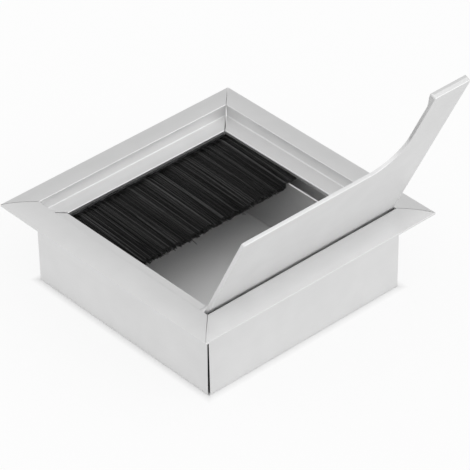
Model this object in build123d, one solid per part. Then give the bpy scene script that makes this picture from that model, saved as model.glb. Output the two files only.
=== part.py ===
from build123d import *
from math import cos, radians, sin, sqrt
import os
import random

# Desk cable grommet: a square frame of four mitred aluminium rails, an L-shaped flip lid and a
# brush strip. Millimetres, +Z up, origin at the centre of the frame on the desk surface, which is
# the flange's underside. The lid's hinge is on the -Y rail and the brush is on the +Y rail.
# The lid stands open at rest.

# Frame: overall sizes
flange_size = 80.0          # outside of the flange
flange_overhang = 6.5       # flange past the collar that goes through the desk
collar_depth = 23.8         # desk surface to the collar's lower face
rim_height = 1.7            # desk surface to the crest of the flange

# Frame: the extruded section
wall = 0.75                 # collar's outer wall
inner_wall = 0.7            # collar's inner wall, which ends in the lip of the brush groove
inner_step = 1.0            # inner wall's face in from the ledge's edge
web = 1.0                   # floors of the brush groove and of the chamber below it
ledge_drop = 3.45           # crest of the flange down to the ledge
ledge_width = 5.15          # from the recess wall in to the opening
ledge_thickness = 1.15
slot_height = 2.4           # mouth of the brush groove, from the ledge down to the lip
groove_lip = 1.9            # groove's depth behind its lip
tip_thickness = 0.45        # thin outer edge of the flange
tip_radius = 0.1            # rounding of that edge
rim_radius = 0.25           # rounding of the crest into the recess
foot_radius = 0.6           # rounding of the collar's lower edges
recess_fillet = 0.3         # corner between the recess wall and the ledge
ledge_radius = 0.3          # rounding of the ledge's upper edge
edge_radius = 0.15          # rounding of its lower edge
lip_radius = 0.33           # rounding of the groove's lip, on both sides

# Frame: mitred corners
mitre_gap = 0.14            # across the mitre line in the flange
slit_top = 0.26             # across the collar's corner slit, at the desk surface
slit_bottom = 0.6           # the same, at the collar's lower face

# Corner keys
key_leg = 14.0              # length of each leg along the chamber
key_clearance = 0.05        # all round in the chamber
key_chamfer = 0.6

# Lid
lid_end_gap = 0.5           # each end of the lid to the recess wall
lid_sink = 0.5              # closed lid's face below the crest
lid_thickness = 1.0
brush_cover = 3.15          # closed lid's short edge past the bristles' free ends
lid_tip_gap = 0.5           # closed tongue's free edge to the recess wall
tongue_width = 12.2
notch_radius = 9.7          # concave corner between the short edge and the tongue
lip_thickness = 2.0         # tongue's free edge, which lands on the ledge when the lid is shut
lip_face = 1.2              # upright part of that edge, above its bevel
lip_bevel = 0.25            # bevel's run under the lip
lip_depth = 5.0             # length over which the tongue thickens into its lip
lid_corner_radius = 0.6
lid_edge_radius = 0.25      # rounding round the lid's face
hinge_drop = 1.69           # hinge axis below the lid's face
bead_radius = 1.1
heel_radius = 0.3           # corner of the heel that lands on the ledge when the lid is open
open_angle = 116.2          # from closed to the stop
open_gap = 0.47             # open lid's face to the rim
stop_clearance = 0.05       # open lid's heel to the ledge

# Hinge pins
pin_radius = 0.6
pin_clearance = 0.05        # radial, in the rail's hole
pin_bite = 0.45             # length inside the rail
pin_end_clearance = 0.1
pin_seat = 5.0              # length inside the lid's bead
pin_seat_clearance = 0.01   # radial, in the bead

# Brush strip
brush_end_gap = 3.0         # each end of the strip to the collar's outer wall
strip_sheet = 0.5           # sheet of the crimped channel
strip_clearance = 0.05      # all round in the groove
crimp = 0.62                # inward lean of each leg at its mouth
strip_setback = 0.6         # strip's mouth behind the ledge's edge
core_radius = 0.55          # wire that the bristles are folded round
core_setback = 1.35         # wire's axis from the inside of the strip's back
core_clearance = 0.02
bristle_reach = 25.9        # past the groove's mouth
bristle_droop = 1.4         # fall of the free ends
pack_root = 1.5             # thickness of the pack where it lies on the groove's lip
pack_tip = 2.4              # thickness of the pack at its free ends
lip_clearance = 0.08        # pack to the lip
tuft_count = 64
tuft_gap = 0.14
tuft_join = 5.0             # length over which the tufts stay joined, past the slot
tuft_end_spread = 0.55      # uneven ends, each way
tuft_level_spread = 0.16    # uneven height, each way
tuft_seed = 7

# Places worked out from the sizes above
flange_half = flange_size / 2
collar_half = flange_half - flange_overhang
recess_half = collar_half - wall
opening_half = recess_half - ledge_width
passage_half = opening_half - inner_step
channel_in = passage_half + inner_wall
ledge_z = rim_height - ledge_drop
slot_top = ledge_z - ledge_thickness
slot_floor = slot_top - slot_height
groove_floor = slot_floor - groove_lip
chamber_top = groove_floor - web
chamber_floor = web - collar_depth
lid_half = recess_half - lid_end_gap
lid_top = rim_height - lid_sink
lid_under = lid_top - lid_thickness
lid_long_y = recess_half - lid_tip_gap
bristle_end_y = opening_half - bristle_reach
lid_short_y = bristle_end_y + brush_cover
hinge_z = lid_top - hinge_drop


def hinge_setback():
    """Hinge axis in from the recess wall, such that the open lid's face stands just clear of the rim."""
    rim_above_axis = rim_height - rim_radius - hinge_z
    across = hinge_drop + rim_radius + open_gap - rim_above_axis * cos(radians(open_angle))
    return across / sin(radians(open_angle)) - rim_radius


def heel_length():
    """Lid past its hinge axis, such that the heel's corner lands on the ledge at the open angle."""
    ledge_below_axis = hinge_z - ledge_z - stop_clearance
    corner_drop = ledge_below_axis - heel_radius + (hinge_drop - heel_radius) * cos(radians(open_angle))
    return corner_drop / sin(radians(open_angle)) + heel_radius


hinge_y = hinge_setback() - recess_half
hinge_axis = Axis((0, hinge_y, hinge_z), (1, 0, 0))
from_end = (Align.CENTER, Align.CENTER, Align.MIN)


def rail_section():
    """Section of the extrusion: local X runs outward from the frame's centre and local Y is up."""
    crest = recess_half + rim_radius
    run = flange_half - crest
    fall = rim_height - tip_thickness
    top_radius = (run**2 + fall**2) / (2 * fall)
    half_run = run / 2
    half_fall = top_radius - sqrt(top_radius**2 - half_run**2)
    foot_z = foot_radius - collar_depth
    with BuildLine() as outline:
        Polyline((collar_half, 0), (flange_half, 0), (flange_half, tip_thickness))
        ThreePointArc(
            (flange_half, tip_thickness),
            (crest + half_run, rim_height - half_fall),
            (crest, rim_height),
        )
        RadiusArc((crest, rim_height), (recess_half, rim_height - rim_radius), -rim_radius)
        Polyline(
            (recess_half, rim_height - rim_radius),
            (recess_half, ledge_z),
            (opening_half, ledge_z),
            (opening_half, slot_top),
            (recess_half, slot_top),
            (recess_half, groove_floor),
            (channel_in, groove_floor),
            (channel_in, slot_floor),
            (passage_half, slot_floor),
            (passage_half, foot_z),
        )
        RadiusArc((passage_half, foot_z), (passage_half + foot_radius, -collar_depth), -foot_radius)
        Line((passage_half + foot_radius, -collar_depth), (collar_half - foot_radius, -collar_depth))
        RadiusArc((collar_half - foot_radius, -collar_depth), (collar_half, foot_z), -foot_radius)
        Line((collar_half, foot_z), (collar_half, 0))
    section = make_face(outline.line)
    rounded = {
        (flange_half, tip_thickness): tip_radius,
        (recess_half, ledge_z): recess_fillet,
        (opening_half, ledge_z): ledge_radius,
        (opening_half, slot_top): edge_radius,
        (channel_in, slot_floor): lip_radius,
        (passage_half, slot_floor): lip_radius,
    }
    for corner, radius in rounded.items():
        section = fillet(section.vertices().sort_by_distance(corner)[0], radius)
    chamber = Rectangle(recess_half - channel_in, chamber_top - chamber_floor, align=Align.MIN)
    return section - Pos(channel_in, chamber_floor) * chamber


def mitre_slit():
    """Saw cut along the mitre from the frame's centre to +X +Y: parallel through the flange, and
    widening down the collar."""
    widths = [(mitre_gap, flange_size), (mitre_gap, 0), (slit_top, 0), (slit_bottom, -collar_depth)]
    right_side = [(width / 2, z) for width, z in widths]
    left_side = [(-width / 2, z) for width, z in reversed(widths)]
    across = Plane(origin=(0, 0, 0), x_dir=(-1, 1, 0), z_dir=(1, 1, 0))
    return extrude(across * make_face(Polyline(*right_side, *left_side, close=True)), 2 * flange_size)


def rail():
    """One rail on the +X side, between its two mitres."""
    bar = extrude(Plane.XZ * rail_section(), flange_half, both=True)
    quarter = make_face(Polyline((0, 0), (flange_size, -flange_size), (flange_size, flange_size), close=True))
    piece = bar & extrude(quarter, flange_size, both=True)
    slit = mitre_slit()
    return piece - slit - slit.rotate(Axis.Z, -90)


def pin_hole(side):
    """Blind hole for a hinge pin in the recess wall of the left (-1) or right (1) rail."""
    depth = pin_bite + pin_end_clearance
    mouth = Plane(origin=(side * recess_half, hinge_y, hinge_z), z_dir=(side, 0, 0))
    return mouth * Cylinder(pin_radius + pin_clearance, depth, align=from_end)


def corner_key():
    """L-shaped key for the corner between +X and +Y, filling the ends of two rails' chambers."""
    outer = recess_half - key_clearance
    inner = channel_in + key_clearance
    end = outer - key_leg
    outline = Polyline(
        (end, inner),
        (inner, inner),
        (inner, end),
        (outer, end),
        (outer, outer),
        (end, outer),
        close=True,
    )
    low = chamber_floor + key_clearance
    height = chamber_top - key_clearance - low
    key = extrude(Plane.XY.offset(low) * make_face(outline), height)
    leg_ends = key.faces().sort_by(Axis.X)[:1] + key.faces().sort_by(Axis.Y)[:1]
    lead_in = [edge for face in leg_ends for edge in face.edges().filter_by(Axis.Z)]
    return chamfer(lead_in, key_chamfer)


def lid_section():
    """Section of the lid's extrusion: local X runs from the hinge to the tongue, local Y is up."""
    heel_y = hinge_y - heel_length()
    lip_foot = (lid_long_y - lip_bevel, lid_top - lip_thickness)
    lip_root = (lid_long_y - lip_depth, lid_under)
    with BuildLine() as outline:
        Polyline(
            lip_root,
            (heel_y, lid_under),
            (heel_y, lid_top),
            (lid_long_y, lid_top),
            (lid_long_y, lid_top - lip_face),
            lip_foot,
        )
        Spline(lip_foot, lip_root, tangents=[(-1, 0), (-1, 0)])
    plate = make_face(outline.line)
    heel_corner = plate.vertices().group_by(Axis.X)[0].sort_by(Axis.Y)[-1]
    plate = fillet(heel_corner, heel_radius)
    return plate + Pos(hinge_y, hinge_z) * Circle(bead_radius)


def closed_lid():
    """Lid lying closed in the recess, with its bead, its lip and the holes for its pins."""
    tongue_x = lid_half - tongue_width
    blank = extrude(Plane.YZ * lid_section(), lid_half, both=True)
    notch = Pos(tongue_x, lid_short_y) * Rectangle(flange_size, flange_size, align=(Align.MAX, Align.MIN))
    notch = fillet(notch.vertices().group_by(Axis.Y)[0].sort_by(Axis.X)[-1], notch_radius)
    lid = blank - extrude(notch, flange_size, both=True)
    outer_corners = lid.edges().filter_by(Axis.Z).filter_by(lambda edge: edge.center().Y > hinge_y)
    lid = fillet(outer_corners, lid_corner_radius)
    face_edges = lid.faces().sort_by(Axis.Z)[-1].edges()
    lid = fillet(face_edges.filter_by(lambda edge: edge.center().Y > hinge_y), lid_edge_radius)
    for side in (-1, 1):
        end = Plane(origin=(side * lid_half, hinge_y, hinge_z), z_dir=(-side, 0, 0))
        lid -= end * Cylinder(pin_radius + pin_seat_clearance, pin_seat, align=from_end)
    return lid


def hinge_pin(side):
    """Pin from its seat in the bead to its bite in the left (-1) or right (1) rail."""
    length = pin_seat + lid_end_gap + pin_bite
    tip = Plane(origin=(side * (recess_half + pin_bite), hinge_y, hinge_z), z_dir=(-side, 0, 0))
    return tip * Cylinder(pin_radius, length, align=from_end)


def opened(piece):
    """The piece turned with the lid from closed to its stop."""
    return piece.rotate(hinge_axis, open_angle)


# Brush strip: its section fills the groove of the +Y rail, behind the lip and under the ledge
strip_half = recess_half - brush_end_gap
strip_back = recess_half - strip_clearance
strip_front = opening_half + strip_setback
strip_top = slot_top - strip_clearance
strip_under = groove_floor + strip_clearance
core_y = strip_back - strip_sheet - core_setback
core_z = (strip_top + strip_under) / 2
mouth_z = slot_floor + lip_clearance + pack_root / 2


def brush_channel():
    """Crimped U-strip, open towards the opening, with both legs leaning in at the mouth."""
    outline = Polyline(
        (strip_front, strip_top - crimp),
        (core_y, strip_top),
        (strip_back, strip_top),
        (strip_back, strip_under),
        (core_y, strip_under),
        (strip_front, strip_under + crimp),
        (strip_front, strip_under + crimp + strip_sheet),
        (core_y, strip_under + strip_sheet),
        (strip_back - strip_sheet, strip_under + strip_sheet),
        (strip_back - strip_sheet, strip_top - strip_sheet),
        (core_y, strip_top - strip_sheet),
        (strip_front, strip_top - strip_sheet - crimp),
        close=True,
    )
    return extrude(Plane.YZ * make_face(outline), strip_half, both=True)


def brush_wire():
    """Core wire along the whole strip."""
    return extrude(Plane.YZ * (Pos(core_y, core_z) * Circle(core_radius)), strip_half, both=True)


def bristles():
    """Bristle pack: a root folded round the wire, and tufts with uneven ends that sag a little,
    but stay level where they lie in the side rails' grooves."""
    rng = random.Random(tuft_seed)
    grip_top = strip_top - strip_sheet - crimp
    grip_under = strip_under + strip_sheet + crimp
    root_back = strip_back - strip_sheet
    join_y = opening_half - tuft_join
    root = Polyline(
        (root_back, strip_under + strip_sheet),
        (root_back, strip_top - strip_sheet),
        (core_y, strip_top - strip_sheet),
        (strip_front, grip_top),
        (opening_half, mouth_z + pack_root / 2),
        (join_y, mouth_z + pack_root / 2),
        (join_y, mouth_z - pack_root / 2),
        (opening_half, mouth_z - pack_root / 2),
        (strip_front, grip_under),
        (core_y, strip_under + strip_sheet),
        close=True,
    )
    core = Pos(core_y, core_z) * Circle(core_radius + core_clearance)
    pack = extrude(Plane.YZ * (make_face(root) - core), strip_half, both=True)
    pitch = 2 * strip_half / tuft_count
    tufts = []
    for index in range(tuft_count):
        x = -strip_half + (index + 0.5) * pitch
        end_y = bristle_end_y + rng.uniform(-tuft_end_spread, tuft_end_spread)
        end_z = mouth_z - bristle_droop + rng.uniform(-tuft_level_spread, tuft_level_spread)
        end_half = pack_tip / 2
        if abs(x) + pitch > passage_half:
            end_z = mouth_z
            end_half = pack_root / 2
        side = Polyline(
            (passage_half, mouth_z + pack_root / 2),
            (end_y, end_z + end_half),
            (end_y, end_z - end_half),
            (passage_half, mouth_z - pack_root / 2),
            close=True,
        )
        tufts.append(Pos(x) * extrude(Plane.YZ * make_face(side), (pitch - tuft_gap) / 2, both=True))
    return pack.fuse(*tufts)


side_rail = rail()
parts = {
    "right_rail": side_rail - pin_hole(1),
    "brush_rail": side_rail.rotate(Axis.Z, 90),
    "left_rail": side_rail.rotate(Axis.Z, 180) - pin_hole(-1),
    "hinge_rail": side_rail.rotate(Axis.Z, 270),
    "lid": opened(closed_lid()),
    "hinge_pin_left": opened(hinge_pin(-1)),
    "hinge_pin_right": opened(hinge_pin(1)),
    "brush_channel": brush_channel(),
    "brush_wire": brush_wire(),
    "bristles": bristles(),
}
corner_names = ["brush_right", "brush_left", "hinge_left", "hinge_right"]
for turn, name in enumerate(corner_names):
    parts["corner_key_" + name] = corner_key().rotate(Axis.Z, 90 * turn)

os.makedirs("parts", exist_ok=True)
for name, solid in parts.items():
    export_step(solid, "parts/" + name + ".step")
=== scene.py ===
import math
import random

import bpy
from mathutils import Matrix, Vector


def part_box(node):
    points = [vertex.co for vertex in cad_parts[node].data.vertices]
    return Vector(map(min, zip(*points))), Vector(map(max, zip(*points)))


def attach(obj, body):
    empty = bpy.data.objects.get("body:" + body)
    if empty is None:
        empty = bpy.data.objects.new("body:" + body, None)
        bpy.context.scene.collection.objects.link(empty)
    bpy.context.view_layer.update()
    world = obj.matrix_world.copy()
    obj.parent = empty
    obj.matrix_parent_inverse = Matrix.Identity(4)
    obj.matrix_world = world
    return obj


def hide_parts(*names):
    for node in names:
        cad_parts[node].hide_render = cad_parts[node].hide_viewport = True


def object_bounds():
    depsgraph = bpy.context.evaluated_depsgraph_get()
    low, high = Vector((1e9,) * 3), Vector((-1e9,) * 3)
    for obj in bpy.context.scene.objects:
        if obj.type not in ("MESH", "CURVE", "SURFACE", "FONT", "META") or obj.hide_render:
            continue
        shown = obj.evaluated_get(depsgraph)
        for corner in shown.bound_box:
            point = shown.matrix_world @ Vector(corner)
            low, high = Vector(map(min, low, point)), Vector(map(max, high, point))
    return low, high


# Desk cable grommet: finishes, bristle strands, studio and camera.
# Metres, in the model's own frame: origin at the centre of the frame on the desk surface, +Z up.

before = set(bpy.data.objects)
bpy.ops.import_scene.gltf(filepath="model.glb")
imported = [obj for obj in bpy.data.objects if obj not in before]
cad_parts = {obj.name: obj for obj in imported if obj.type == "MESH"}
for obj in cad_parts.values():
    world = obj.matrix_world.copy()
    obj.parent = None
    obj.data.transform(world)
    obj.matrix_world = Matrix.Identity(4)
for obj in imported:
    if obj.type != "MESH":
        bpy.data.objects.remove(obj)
cad_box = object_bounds()

MM = 0.001

# Bristles: free nylon strands, gripped in the strip and cut to an uneven line
bristle_seed = 11
bristle_count = 2900
bristle_sides = 4
bristle_rings = 5               # rings along the free length, past the slot
bristle_radius = 0.09 * MM
thinnest = 0.85                 # of that radius
thickest = 1.15
wrap_height = 0.9 * MM          # height of the pack round the wire
slot_mid = -4.47 * MM           # middle of the pack where it lies on the groove's lip
slot_half = 0.65 * MM           # room for bristles above and below the middle
side_room = 0.4 * MM            # strands this near the side walls stay level with the slot
pack_root = 1.25 * MM           # thickness of the pack at the slot
pack_tip = 2.4 * MM             # thickness of the pack at its free ends

# Free ends of the bristles
tip_line = 1.7 * MM             # Y of the free ends
tip_drop = 1.4 * MM             # fall of the pack's middle there
sag_power = 1.35                # how late along the strand the fall comes
sway_power = 1.4                # the same for the lean to the side
tip_spread = 0.08 * MM          # uneven cut, strand by strand
tip_sway = 0.06 * MM            # lean to the side, strand by strand
tip_mix = 0.2                   # share of a strand's height in the pack that is shuffled on the way
tip_round = 0.03 * MM           # rounding of each cut end
tip_girth = 0.8                 # share of the radius left at the end of that rounding
clump_count = 61
clump_width = 1.25 * MM         # neighbouring bristles lean together
clump_lean = 0.05 * MM          # how far to the side
clump_cut = 0.12 * MM           # uneven cut, clump by clump
clump_pull = 0.06               # pull of a strand to its clump's middle, at the most
pull_least = 0.3                # share of that pull at the least
stray_share = 0.006             # bristles that stand away from the pack
stray_side = 1.2 * MM           # how far such a strand goes aside
stray_short = 0.9 * MM          # how much earlier it ends
stray_fall = 0.5 * MM           # how far it hangs
stray_lift = 0.6 * MM           # how much that varies

# Noise runs mainly between these values, and its scales are in cells per metre
noise_low = 0.3
noise_high = 0.7

# Anodised aluminium
frame_greys = (0.74, 0.765)
lid_greys = (0.755, 0.78)
satin_roughness = (0.46, 0.52)
die_line_scale = 5200
die_line_stretch = 0.004        # the lines run on along the extrusion
die_line_depth = 0.0006 * MM
etch_scale = 9000
etch_depth = 0.002 * MM
mottle_scale = 130

# Nylon of the bristles
nylon_black = (0.0012, 0.0012, 0.0013)
# Some strands are paler: partly their own tone, partly painted highlight that stands in for the glints
# along single strands
palest_strand_tone_and_glint = 0.08
# The cut ends are paler: partly the greyer look of cut nylon, partly painted highlight for the glints the
# cut ends catch
palest_cut_end_tone_and_glint = 0.12
pale_from = 0.68                # share of strands that stay black
strand_scale = 900
strand_stretch = (1.0, 0.2, 1.0)
strand_roughness = (0.3, 0.42)
strand_sheen = 0.22

# Moulded corner keys
key_blacks = ((0.012, 0.012, 0.013), (0.02, 0.02, 0.021))
key_cloud_scale = 160
key_grain_scale = 3500
key_grain_depth = 0.012 * MM
key_roughness = (0.45, 0.6)

# Zinc-coated strip and wire
strip_greys = ((0.42, 0.43, 0.44), (0.55, 0.56, 0.57))
wire_greys = ((0.38, 0.38, 0.39), (0.5, 0.5, 0.51))
zinc_cloud_scale = 420
zinc_roughness = (0.32, 0.5)
zinc_grain_scale = 4000
zinc_grain_depth = 0.004 * MM

# Steel of the hinge pins
pin_greys = ((0.5, 0.5, 0.5), (0.6, 0.6, 0.6))
pin_ring_scale = 9000
pin_ring_stretch = (1.0, 0.02, 0.02)
pin_ring_depth = 0.002 * MM
pin_roughness = (0.22, 0.34)

# Camera: the photograph's view, angles in degrees
view_azimuth = -41.828
view_elevation = 36.45
view_roll = -0.815
view_distance = 843.8 * MM
aim_right = 4.587 * MM          # the picture's middle, off the frame's centre
aim_up = -6.46 * MM
sensor_width = 36.0             # in millimetres, and so is the lens
lens = 249.03

# Studio floor
floor_size = 6.0
floor_grey = 0.8
floor_roughness = 0.9
floor_sheen = 0.1
white_share = 0.85              # share of plain white in the floor as seen, outside the collar
white_from = 32.5 * MM          # where the white begins, out from the middle
white_full = 35.5 * MM          # where it has its full share

# Studio room: direction and brightness of each soft box
room_focus = 4.0                # how narrow the boxes are
room_lights = [
    ((-0.62, -0.69, 0.37), 0.68),
    ((0.05, -0.93, 0.37), 1.06),
    ((0.69, -0.62, 0.37), 0.94),
    ((0.93, 0.05, 0.37), 0.40),
    ((0.62, 0.69, 0.37), 0.37),
    ((-0.05, 0.93, 0.37), 0.48),
    ((-0.69, 0.62, 0.37), 0.50),
    ((-0.93, -0.05, 0.37), 0.55),
    ((-0.35, -0.39, 0.85), 0.36),
    ((0.39, -0.35, 0.85), 0.32),
    ((0.35, 0.39, 0.85), 0.12),
    ((-0.39, 0.35, 0.85), 0.40),
    ((0, 0, 1), 0.15),
]


def new_material(name):
    """A node material with its shader, ready for sockets to be set."""
    material = bpy.data.materials.new(name)
    material.use_nodes = True
    tree = material.node_tree
    return material, tree, tree.nodes["Principled BSDF"]


def noise(tree, scale, stretch=(1, 1, 1), detail=2.0):
    """Noise in the object's own coordinates; scale is in cells per metre."""
    coords = tree.nodes.new("ShaderNodeTexCoord")
    mapping = tree.nodes.new("ShaderNodeMapping")
    texture = tree.nodes.new("ShaderNodeTexNoise")
    mapping.inputs["Scale"].default_value = stretch
    texture.inputs["Scale"].default_value = scale
    texture.inputs["Detail"].default_value = detail
    tree.links.new(coords.outputs["Object"], mapping.inputs["Vector"])
    tree.links.new(mapping.outputs["Vector"], texture.inputs["Vector"])
    return texture.outputs["Fac"]


def spread(tree, value, low, high):
    """A noise, mapped to values from low to high."""
    ranged = tree.nodes.new("ShaderNodeMapRange")
    ranged.inputs["From Min"].default_value = noise_low
    ranged.inputs["From Max"].default_value = noise_high
    ranged.inputs["To Min"].default_value = low
    ranged.inputs["To Max"].default_value = high
    tree.links.new(value, ranged.inputs["Value"])
    return ranged.outputs["Result"]


def shades(tree, value, dark, light, start=noise_low, end=noise_high):
    """A colour that goes from dark to light while the value goes from start to end."""
    ramp = tree.nodes.new("ShaderNodeValToRGB")
    ramp.color_ramp.elements[0].position = start
    ramp.color_ramp.elements[0].color = (*dark, 1)
    ramp.color_ramp.elements[1].position = end
    ramp.color_ramp.elements[1].color = (*light, 1)
    tree.links.new(value, ramp.inputs["Fac"])
    return ramp.outputs["Color"]


def bump(tree, height, distance, normal=None):
    """Relief of the given depth in metres."""
    node = tree.nodes.new("ShaderNodeBump")
    node.inputs["Strength"].default_value = 1.0
    node.inputs["Distance"].default_value = distance
    tree.links.new(height, node.inputs["Height"])
    if normal is not None:
        tree.links.new(normal, node.inputs["Normal"])
    return node.outputs["Normal"]


def anodised(name, along, greys):
    """Satin anodised extrusion: etched grain, and faint die lines along the given axis."""
    material, tree, shader = new_material(name)
    stretch = [1.0, 1.0, 1.0]
    stretch["XYZ".index(along)] = die_line_stretch
    die_lines = noise(tree, die_line_scale, stretch, detail=3.0)
    grain = noise(tree, etch_scale, detail=1.0)
    mottle = noise(tree, mottle_scale)
    dark, light = ((grey,) * 3 for grey in greys)
    shader.inputs["Metallic"].default_value = 1.0
    tree.links.new(shades(tree, mottle, dark, light), shader.inputs["Base Color"])
    tree.links.new(spread(tree, die_lines, *satin_roughness), shader.inputs["Roughness"])
    relief = bump(tree, die_lines, die_line_depth)
    tree.links.new(bump(tree, grain, etch_depth, relief), shader.inputs["Normal"])
    return material


def nylon_bristle(name, palest):
    """Black nylon: each strand a slightly different black, up to the palest, with a soft sheen; the paler
    strands are partly their own tone and partly painted highlight for the glints along single strands.
    """
    material, tree, shader = new_material(name)
    geometry = tree.nodes.new("ShaderNodeNewGeometry")
    island = geometry.outputs["Random Per Island"]
    # Partly painted highlight: the paler strands also stand in for the glints along single strands
    tone = shades(tree, island, nylon_black, (palest,) * 3, pale_from, 1.0)
    tree.links.new(tone, shader.inputs["Base Color"])
    along = noise(tree, strand_scale, strand_stretch)
    tree.links.new(spread(tree, along, *strand_roughness), shader.inputs["Roughness"])
    shader.inputs["Specular IOR Level"].default_value = strand_sheen
    return material


def moulded_nylon():
    """Black moulded plastic of the corner keys."""
    material, tree, shader = new_material("corner_key_nylon")
    grain = noise(tree, key_grain_scale, detail=3.0)
    cloud = noise(tree, key_cloud_scale)
    tree.links.new(shades(tree, cloud, *key_blacks), shader.inputs["Base Color"])
    tree.links.new(spread(tree, grain, *key_roughness), shader.inputs["Roughness"])
    tree.links.new(bump(tree, grain, key_grain_depth), shader.inputs["Normal"])
    return material


def galvanised(name, greys):
    """Zinc-coated sheet or wire: cloudy grey metal."""
    material, tree, shader = new_material(name)
    cloud = noise(tree, zinc_cloud_scale, detail=4.0)
    grain = noise(tree, zinc_grain_scale)
    shader.inputs["Metallic"].default_value = 1.0
    tree.links.new(shades(tree, cloud, *greys), shader.inputs["Base Color"])
    tree.links.new(spread(tree, cloud, *zinc_roughness), shader.inputs["Roughness"])
    tree.links.new(bump(tree, grain, zinc_grain_depth), shader.inputs["Normal"])
    return material


def turned_steel():
    """Bright drawn pin stock with fine rings round it."""
    material, tree, shader = new_material("pin_turned_steel")
    rings = noise(tree, pin_ring_scale, pin_ring_stretch)
    shader.inputs["Metallic"].default_value = 1.0
    tree.links.new(shades(tree, rings, *pin_greys), shader.inputs["Base Color"])
    tree.links.new(spread(tree, rings, *pin_roughness), shader.inputs["Roughness"])
    tree.links.new(bump(tree, rings, pin_ring_depth), shader.inputs["Normal"])
    return material


def dress(node, material):
    """The CAD node shown in this material."""
    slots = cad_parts[node].data.materials
    slots.clear()
    slots.append(material)


def dress_frame():
    """A finish on each CAD node."""
    along_x = anodised("frame_aluminium_x", "X", frame_greys)
    along_y = anodised("frame_aluminium_y", "Y", frame_greys)
    lid_finish = anodised("lid_aluminium_x", "X", lid_greys)
    for node in ("hinge_rail", "brush_rail"):
        dress(node, along_x)
    for node in ("left_rail", "right_rail"):
        dress(node, along_y)
    dress("lid", lid_finish)
    key_finish = moulded_nylon()
    for corner in ("brush_right", "brush_left", "hinge_left", "hinge_right"):
        dress("corner_key_" + corner, key_finish)
    pin_finish = turned_steel()
    for side in ("left", "right"):
        dress("hinge_pin_" + side, pin_finish)
    dress("brush_channel", galvanised("strip_zinc", strip_greys))
    dress("brush_wire", galvanised("core_wire_zinc", wire_greys))


# Where the bristles start, come out of the slot and end at the sides
wire = sum(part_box("brush_wire"), Vector()) / 2
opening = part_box("brush_rail")[0].y
side_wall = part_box("right_rail")[0].x
reach_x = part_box("bristles")[1].x - bristle_radius


def strand_path(rng, clumps):
    """Points of one bristle, from the wire out through the slot to its cut end."""
    x = rng.uniform(-reach_x, reach_x)
    level = rng.uniform(-0.5, 0.5)
    stray = rng.random() < stray_share
    clump_phase = x / clump_width
    clump_x = (math.floor(clump_phase) + 0.5) * clump_width
    lean, cut = clumps[math.floor(clump_phase) % len(clumps)]
    pull = clump_pull * rng.uniform(pull_least, 1.0)
    tip_x = x + (clump_x - x) * pull + lean + rng.gauss(0, tip_sway)
    tip_x = max(-reach_x, min(reach_x, tip_x))
    tip_y = tip_line + cut + rng.gauss(0, tip_spread)
    tip_level = (1 - tip_mix) * level + tip_mix * rng.uniform(-0.5, 0.5)
    tip_z = slot_mid - tip_drop + tip_level * pack_tip
    if stray:
        tip_x += rng.gauss(0, stray_side)
        tip_y -= rng.uniform(0, stray_short)
        tip_z += rng.gauss(-stray_fall, stray_lift)
    mouth_z = slot_mid + level * pack_root
    path = [Vector((x, wire.y, wire.z + level * wrap_height))]
    for ring in range(bristle_rings):
        share = ring / (bristle_rings - 1)
        point = Vector((
            x + (tip_x - x) * share ** sway_power,
            opening + (tip_y - opening) * share,
            mouth_z + (tip_z - mouth_z) * share ** sag_power,
        ))
        if abs(point.x) > side_wall - side_room:
            point.z = max(slot_mid - slot_half, min(slot_mid + slot_half, point.z))
        path.append(point)
    path.append(path[-1] + (path[-1] - path[-2]).normalized() * tip_round)
    return path


def add_tube(points, radius, verts, faces):
    """A closed tube along the points, which run mainly along Y, narrowed at its last point."""
    start = len(verts)
    turn = math.tau / bristle_sides
    for index, point in enumerate(points):
        girth = radius * tip_girth if index == len(points) - 1 else radius
        ahead = points[min(index + 1, len(points) - 1)] - points[max(index - 1, 0)]
        across = ahead.cross(Vector((0, 0, 1))).normalized()
        upward = across.cross(ahead).normalized()
        for side in range(bristle_sides):
            angle = side * turn
            verts.append(point + (across * math.cos(angle) + upward * math.sin(angle)) * girth)
    for ring in range(len(points) - 1):
        low = start + ring * bristle_sides
        for side in range(bristle_sides):
            other = (side + 1) % bristle_sides
            faces.append((low + side, low + other, low + bristle_sides + other, low + bristle_sides + side))
    last = start + (len(points) - 1) * bristle_sides
    faces.append(tuple(start + side for side in reversed(range(bristle_sides))))
    faces.append(tuple(last + side for side in range(bristle_sides)))


def make_bristles():
    """The brush as single strands, in place of its plain solid."""
    rng = random.Random(bristle_seed)
    clumps = [(rng.gauss(0, clump_lean), rng.gauss(0, clump_cut)) for _ in range(clump_count)]
    verts, faces = [], []
    for _ in range(bristle_count):
        path = strand_path(rng, clumps)
        add_tube(path, bristle_radius * rng.uniform(thinnest, thickest), verts, faces)
    mesh = bpy.data.meshes.new("bristle_strands")
    mesh.from_pydata(verts, [], faces)
    mesh.validate()
    mesh.materials.append(nylon_bristle("bristle_nylon_black", palest_strand_tone_and_glint))
    # The cut ends take a paler nylon: partly the greyer look of cut nylon, partly painted highlight for the
    # glints on the cut ends
    mesh.materials.append(nylon_bristle("bristle_nylon_cut_tone_and_glint", palest_cut_end_tone_and_glint))
    strand_faces = len(faces) // bristle_count
    cut_faces = bristle_sides + 2   # the rounding of the cut end, and both end faces
    at_cut = [index % strand_faces >= strand_faces - cut_faces for index in range(len(faces))]
    mesh.polygons.foreach_set("material_index", [int(cut) for cut in at_cut])
    mesh.polygons.foreach_set("use_smooth", [not cut for cut in at_cut])
    strands = bpy.data.objects.new("bristle_strands", mesh)
    bpy.context.scene.collection.objects.link(strands)
    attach(strands, "frame")
    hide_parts("bristles")


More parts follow.
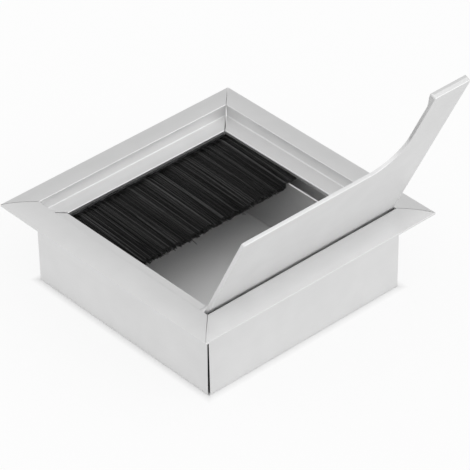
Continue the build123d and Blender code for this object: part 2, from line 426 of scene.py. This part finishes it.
def out_from_middle(tree):
    """Distance out from the middle of the frame, by the square."""
    coords = tree.nodes.new("ShaderNodeTexCoord")
    outward = tree.nodes.new("ShaderNodeVectorMath")
    axes = tree.nodes.new("ShaderNodeSeparateXYZ")
    farther = tree.nodes.new("ShaderNodeMath")
    outward.operation = "ABSOLUTE"
    farther.operation = "MAXIMUM"
    tree.links.new(coords.outputs["Object"], outward.inputs[0])
    tree.links.new(outward.outputs["Vector"], axes.inputs["Vector"])
    tree.links.new(axes.outputs["X"], farther.inputs[0])
    tree.links.new(axes.outputs["Y"], farther.inputs[1])
    return farther.outputs["Value"]


def white_by_reach(tree):
    """The floor's share of white, which grows with the distance from the middle."""
    ranged = tree.nodes.new("ShaderNodeMapRange")
    ranged.inputs["From Min"].default_value = white_from
    ranged.inputs["From Max"].default_value = white_full
    ranged.inputs["To Min"].default_value = 0.0
    ranged.inputs["To Max"].default_value = white_share
    tree.links.new(out_from_middle(tree), ranged.inputs["Value"])
    return ranged.outputs["Result"]


def whiten_floor(tree, shader):
    """White to the camera and in reflections, outside the collar, with part of the shadow kept."""
    rays = tree.nodes.new("ShaderNodeLightPath")
    seen = rays.outputs["Is Camera Ray"]
    for ray in ("Is Glossy Ray", "Is Transmission Ray"):
        either = tree.nodes.new("ShaderNodeMath")
        either.operation = "MAXIMUM"
        tree.links.new(seen, either.inputs[0])
        tree.links.new(rays.outputs[ray], either.inputs[1])
        seen = either.outputs["Value"]
    amount = tree.nodes.new("ShaderNodeMath")
    white = tree.nodes.new("ShaderNodeEmission")
    mixed = tree.nodes.new("ShaderNodeMixShader")
    amount.operation = "MULTIPLY"
    tree.links.new(seen, amount.inputs[0])
    tree.links.new(white_by_reach(tree), amount.inputs[1])
    tree.links.new(amount.outputs["Value"], mixed.inputs["Fac"])
    tree.links.new(shader.outputs["BSDF"], mixed.inputs[1])
    tree.links.new(white.outputs["Emission"], mixed.inputs[2])
    tree.links.new(mixed.outputs["Shader"], tree.nodes["Material Output"].inputs["Surface"])


def make_floor():
    """Plain pale floor under the collar."""
    level = cad_box[0].z
    half = floor_size / 2
    mesh = bpy.data.meshes.new("studio_floor")
    corners = [(-half, -half, level), (half, -half, level), (half, half, level), (-half, half, level)]
    mesh.from_pydata(corners, [], [(0, 1, 2, 3)])
    material, tree, shader = new_material("floor_pale")
    shader.inputs["Base Color"].default_value = (floor_grey, floor_grey, floor_grey, 1)
    shader.inputs["Roughness"].default_value = floor_roughness
    shader.inputs["Specular IOR Level"].default_value = floor_sheen
    whiten_floor(tree, shader)
    mesh.materials.append(material)
    floor = bpy.data.objects.new("studio_floor", mesh)
    bpy.context.scene.collection.objects.link(floor)


def make_world():
    """A room of soft boxes, each brightest at its middle and fading out all round."""
    world = bpy.data.worlds.new("studio_room")
    bpy.context.scene.world = world
    world.use_nodes = True
    tree = world.node_tree
    background = tree.nodes["Background"]
    background.inputs["Color"].default_value = (1, 1, 1, 1)
    coords = tree.nodes.new("ShaderNodeTexCoord")
    total = None
    for direction, brightness in room_lights:
        facing = tree.nodes.new("ShaderNodeVectorMath")
        facing.operation = "DOT_PRODUCT"
        facing.inputs[1].default_value = Vector(direction).normalized()
        tree.links.new(coords.outputs["Generated"], facing.inputs[0])
        ahead = tree.nodes.new("ShaderNodeMath")
        ahead.operation = "MAXIMUM"
        ahead.inputs[1].default_value = 0.0
        tree.links.new(facing.outputs["Value"], ahead.inputs[0])
        fading = tree.nodes.new("ShaderNodeMath")
        fading.operation = "POWER"
        fading.inputs[1].default_value = room_focus
        tree.links.new(ahead.outputs["Value"], fading.inputs[0])
        added = tree.nodes.new("ShaderNodeMath")
        added.operation = "MULTIPLY_ADD"
        added.inputs[1].default_value = brightness
        added.inputs[2].default_value = 0.0
        tree.links.new(fading.outputs["Value"], added.inputs[0])
        if total is not None:
            tree.links.new(total, added.inputs[2])
        total = added.outputs["Value"]
    tree.links.new(total, background.inputs["Strength"])


def make_camera():
    """The photograph's camera."""
    azimuth = math.radians(view_azimuth)
    elevation = math.radians(view_elevation)
    roll = math.radians(view_roll)
    back = Vector((
        math.sin(azimuth) * math.cos(elevation),
        -math.cos(azimuth) * math.cos(elevation),
        math.sin(elevation),
    ))
    level_right = Vector((math.cos(azimuth), math.sin(azimuth), 0))
    level_up = back.cross(level_right)
    right = level_right * math.cos(roll) + level_up * math.sin(roll)
    up = level_up * math.cos(roll) - level_right * math.sin(roll)
    data = bpy.data.cameras.new("photo_camera")
    data.sensor_width = sensor_width
    data.lens = lens
    camera = bpy.data.objects.new("photo_camera", data)
    camera.matrix_world = Matrix((right, up, back)).transposed().to_4x4()
    camera.location = right * aim_right + up * aim_up + back * view_distance
    bpy.context.scene.collection.objects.link(camera)
    bpy.context.scene.camera = camera


dress_frame()
make_bristles()
make_floor()
make_world()
make_camera()
bpy.context.scene.view_settings.view_transform = "Standard"
